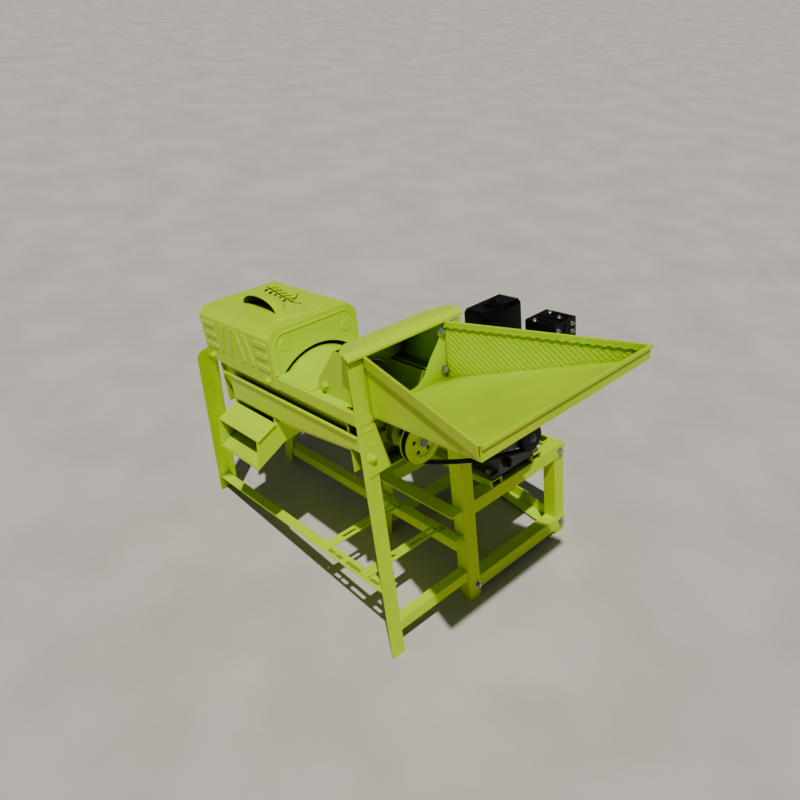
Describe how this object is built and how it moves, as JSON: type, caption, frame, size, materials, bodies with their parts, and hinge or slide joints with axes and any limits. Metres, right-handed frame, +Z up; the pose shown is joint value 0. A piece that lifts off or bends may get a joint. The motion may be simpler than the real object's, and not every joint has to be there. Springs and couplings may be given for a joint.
{
  "type": "corn sheller",
  "caption": "Petrol-engined corn sheller on a tilted angle-steel frame, with feed hopper, belt drive, hood and grain spout.",
  "frame": {"origin": "centre of the bounding box on the ground", "axes": "+X towards the feed hopper, -X towards the cob outlet, +Y towards the engine, +Z up"},
  "size_m": [1.095, 0.8238, 0.8852],
  "materials": {
    "frame_paint": "gloss",
    "sheet_paint": "gloss",
    "tread_paint": "gloss, tread plate",
    "rotor_paint": "satin",
    "bare_steel": "satin",
    "zinc_steel": "bright zinc",
    "dark_iron": "satin",
    "rubber_belt": "matte",
    "cast_alloy": "satin",
    "engine_paint": "gloss",
    "muffler_paint": "satin",
    "black_plastic": "satin",
    "red_plastic": "gloss"
  },
  "bodies": {
    "machine": {"feed_leg_outer": "frame_paint", "feed_leg_inner": "frame_paint", "outlet_leg_outer": "frame_paint", "outlet_leg_inner": "frame_paint", "stand_leg_front": "frame_paint", "stand_legs_rear": "frame_paint", "upper_rail_outer": "frame_paint", "upper_rail_inner": "frame_paint", "lower_rail_outer": "frame_paint", "lower_rail_inner": "frame_paint", "foot_cross_rail": "frame_paint", "motor_bars": "frame_paint", "stand_rails_top": "frame_paint", "stand_rails_side": "frame_paint", "stand_rails_foot": "frame_paint", "stand_sill_outer": "frame_paint", "engine_bars": "frame_paint", "leg_gusset": "sheet_paint", "drum_bearings": "sheet_paint", "end_plate_front": "sheet_paint", "end_plate_rear": "sheet_paint", "drum_cover": "sheet_paint", "concave_grate": "sheet_paint", "grain_trough": "sheet_paint", "grain_spout": "sheet_paint", "hood": "sheet_paint", "feed_throat_plate": "sheet_paint", "feed_head_plates": "sheet_paint", "feed_cover_strip": "sheet_paint", "hopper_floor": "tread_paint", "hopper_wall_outer": "tread_paint", "hopper_wall_engine": "tread_paint", "frame_bolts": "zinc_steel", "engine_bolts": "zinc_steel", "drive_belt": "rubber_belt", "crankcase": "cast_alloy", "cylinder": "cast_alloy", "carburettor": "cast_alloy", "rocker_cover": "engine_paint", "fan_shroud": "engine_paint", "recoil_cover": "engine_paint", "fuel_tank": "engine_paint", "muffler": "muffler_paint", "air_cleaner_base": "black_plastic", "air_cleaner_cover": "black_plastic", "spark_plug_cap": "black_plastic"},
    "rotor": {"drum_shaft": "bare_steel", "drum": "rotor_paint", "drum_bars": "rotor_paint", "drum_pulley": "sheet_paint"},
    "crank": {"crankshaft": "bare_steel", "engine_pulley": "dark_iron"},
    "recoil_pull": {"recoil_grip": "black_plastic"},
    "tank_cap": {"fuel_cap": "black_plastic"},
    "dipstick": {"oil_cap": "black_plastic"},
    "cleaner_nut": {"air_cleaner_knob": "black_plastic"},
    "throttle": {"throttle_lever": "black_plastic"},
    "choke": {"choke_lever": "black_plastic"},
    "fuel_valve": {"fuel_valve_lever": "black_plastic"},
    "engine_switch": {"stop_switch": "red_plastic"}
  },
  "joints": [
    {"name": "drum_spin", "type": "hinge", "parent": "machine", "child": "rotor", "pos_m": [0.21103, -0.2096, 0.59045], "axis": [0.981, 0, 0.1942], "continuous": true},
    {"name": "crank_spin", "type": "hinge", "parent": "machine", "child": "crank", "pos_m": [0.24172, 0.1529, 0.43546], "axis": [0.981, 0, 0.1942], "continuous": true},
    {"name": "recoil_slide", "type": "slide", "parent": "machine", "child": "recoil_pull", "axis": [-0.981, 0, -0.1942], "range_m": [0, 0.45], "stiffness_N_per_m": 30, "springref_m": -0.2},
    {"name": "fuel_cap_turn", "type": "hinge", "parent": "machine", "child": "tank_cap", "pos_m": [0.08008, 0.0809, 0.64301], "axis": [-0.1942, 0, 0.981], "range_deg": [0, 120]},
    {"name": "oil_cap_turn", "type": "hinge", "parent": "machine", "child": "dipstick", "pos_m": [0.22021, 0.1049, 0.36391], "axis": [0.981, 0, 0.1942], "range_deg": [0, 180]},
    {"name": "cleaner_knob_turn", "type": "hinge", "parent": "machine", "child": "cleaner_nut", "pos_m": [-0.04869, 0.3019, 0.66135], "axis": [-0.1942, 0, 0.981], "range_deg": [0, 180]},
    {"name": "throttle_hinge", "type": "hinge", "parent": "machine", "child": "throttle", "pos_m": [0.0128, 0.2049, 0.51042], "axis": [0.981, 0, 0.1942], "range_deg": [-30, 30]},
    {"name": "choke_hinge", "type": "hinge", "parent": "machine", "child": "choke", "pos_m": [-0.00406, 0.3579, 0.5132], "axis": [0.981, 0, 0.1942], "range_deg": [-20, 20]},
    {"name": "fuel_valve_hinge", "type": "hinge", "parent": "machine", "child": "fuel_valve", "pos_m": [-0.00406, 0.2979, 0.5132], "axis": [0.981, 0, 0.1942], "range_deg": [-30, 30]},
    {"name": "stop_switch_turn", "type": "hinge", "parent": "machine", "child": "engine_switch", "pos_m": [-0.01493, 0.2109, 0.47027], "axis": [0.981, 0, 0.1942], "range_deg": [0, 60]}
  ],
  "couplings": [
    {"joint": "crank_spin", "follows": "drum_spin", "ratio": 1.3892}
  ]
}
